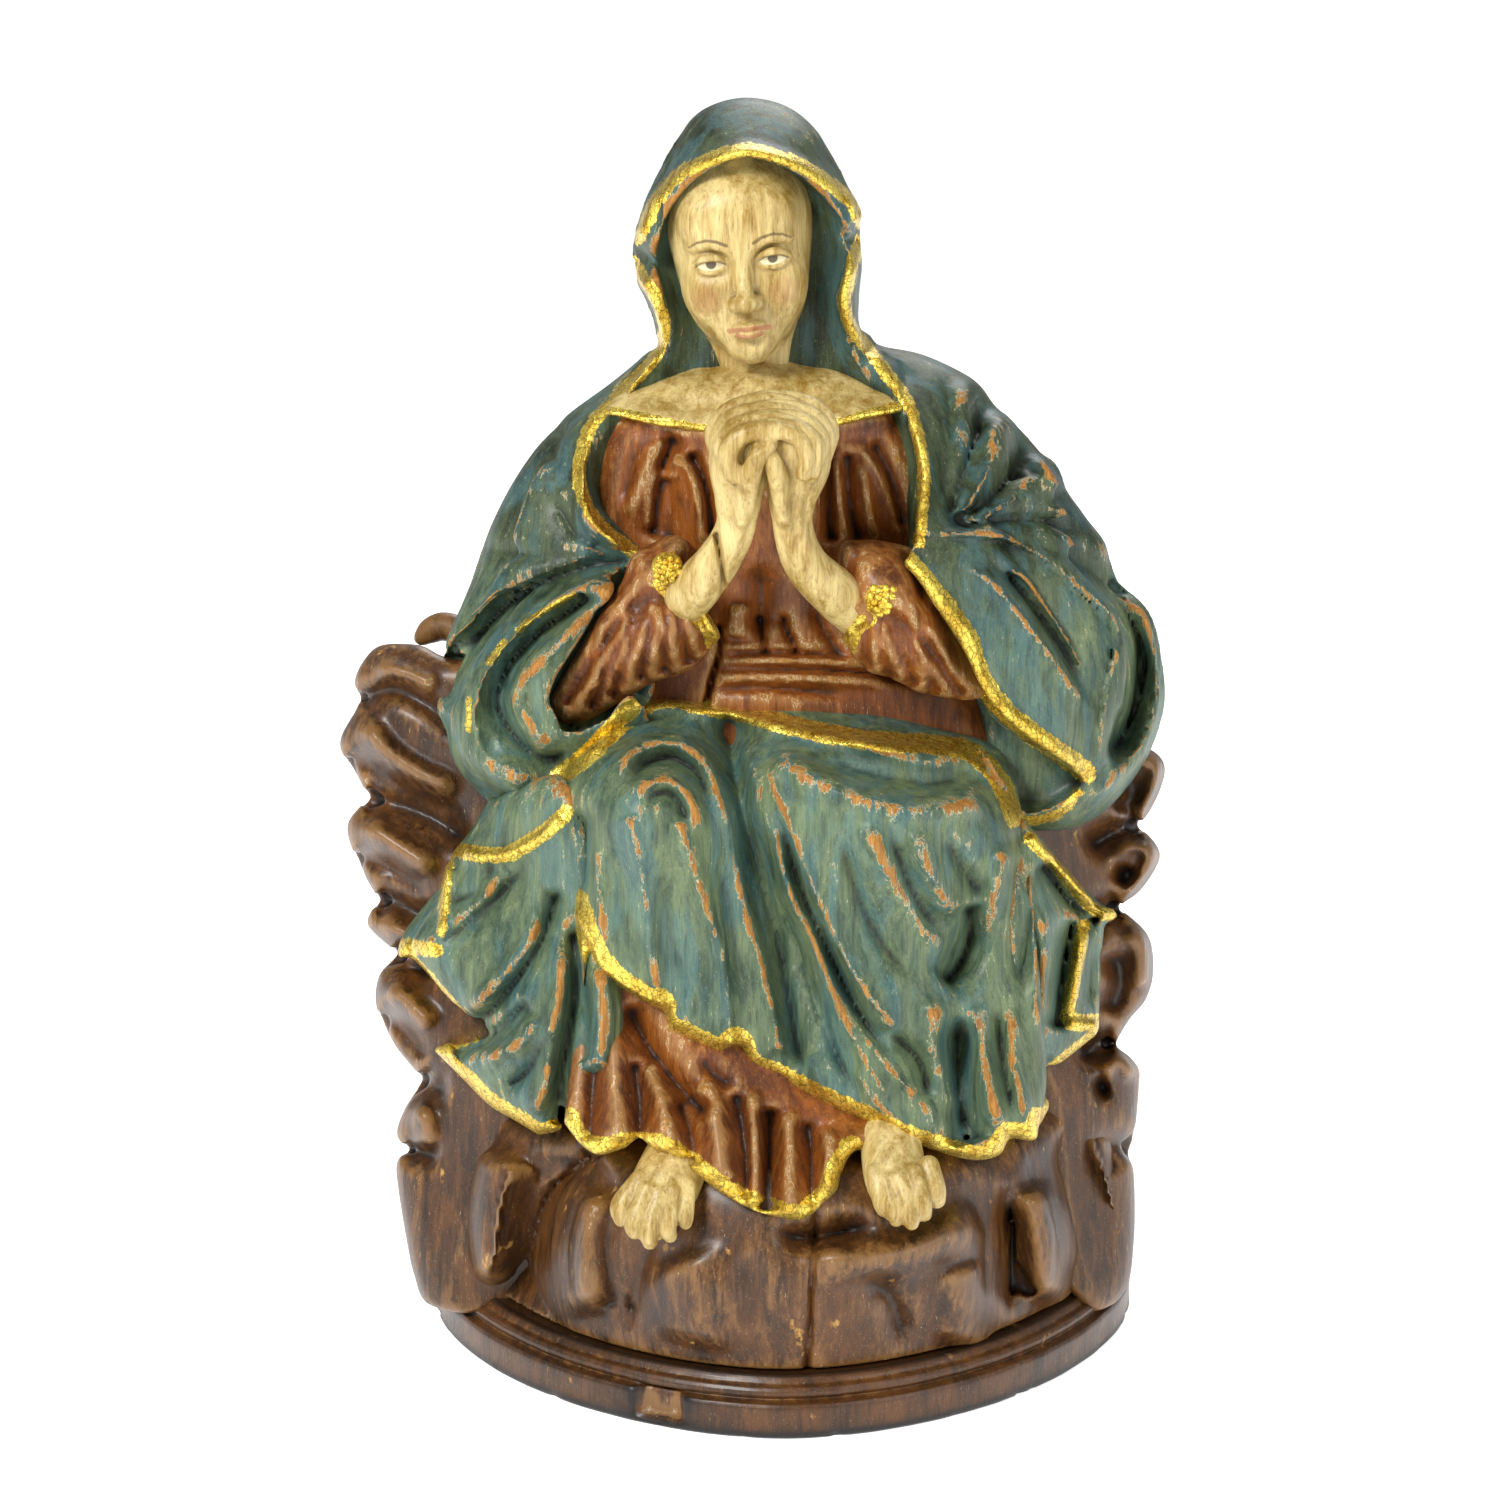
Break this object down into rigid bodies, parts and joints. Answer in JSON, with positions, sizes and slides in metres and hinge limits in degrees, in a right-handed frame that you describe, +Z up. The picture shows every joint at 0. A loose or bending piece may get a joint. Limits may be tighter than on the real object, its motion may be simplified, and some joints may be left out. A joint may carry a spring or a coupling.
{
  "type": "madonna statue",
  "caption": "Carved wooden seated madonna praying on a bank of clouds, glued and dowelled from painted and gilded blocks on a moulded D-shaped plinth.",
  "frame": {"origin": "on the flat underside of the plinth, at the middle of its width", "axes": "+X to the viewer's right when facing the figure, +Y towards its back, +Z up; the figure faces -Y"},
  "size_m": [0.3294, 0.1877, 0.525],
  "materials": {
    "cloud_paint": "worn satin brown paint over wood",
    "dress_paint": "worn satin red-brown paint over wood",
    "mantle_paint": "worn satin blue-green paint over gesso and wood, gilt borders",
    "flesh_paint": "worn cream paint over gesso and wood",
    "gold_leaf": "cracked gold leaf",
    "bare_wood": "bare dowel wood"
  },
  "bodies": {
    "root": {"plinth": "cloud_paint", "cloud_base_left": "cloud_paint", "cloud_base_centre": "cloud_paint", "cloud_base_right": "cloud_paint", "cloud_bank_left": "cloud_paint", "cloud_bank_right": "cloud_paint", "cloud_scroll_rear": "cloud_paint", "trunk": "dress_paint", "underskirt": "dress_paint", "cuff_left": "dress_paint", "cuff_right": "dress_paint", "cuff_boss_left": "gold_leaf", "cuff_boss_right": "gold_leaf", "head": "flesh_paint", "hand_left": "flesh_paint", "hand_right": "flesh_paint", "foot_left": "flesh_paint", "foot_right": "flesh_paint", "hood": "mantle_paint", "mantle_left": "mantle_paint", "mantle_right": "mantle_paint", "mantle_back": "mantle_paint", "lap_left": "mantle_paint", "lap_right": "mantle_paint", "drapery_left": "mantle_paint", "drapery_right": "mantle_paint", "neck_dowel": "bare_wood", "trunk_dowel": "bare_wood", "shoulder_dowel_left": "bare_wood", "shoulder_dowel_right": "bare_wood", "bank_dowel_left": "bare_wood", "bank_dowel_right": "bare_wood", "lap_dowel_left": "bare_wood", "lap_dowel_right": "bare_wood", "foot_dowel_left": "bare_wood", "foot_dowel_right": "bare_wood", "wrist_dowel_left": "bare_wood", "wrist_dowel_right": "bare_wood", "plinth_dowel_left": "bare_wood", "plinth_dowel_centre": "bare_wood", "plinth_dowel_right": "bare_wood"}
  },
  "joints": []
}
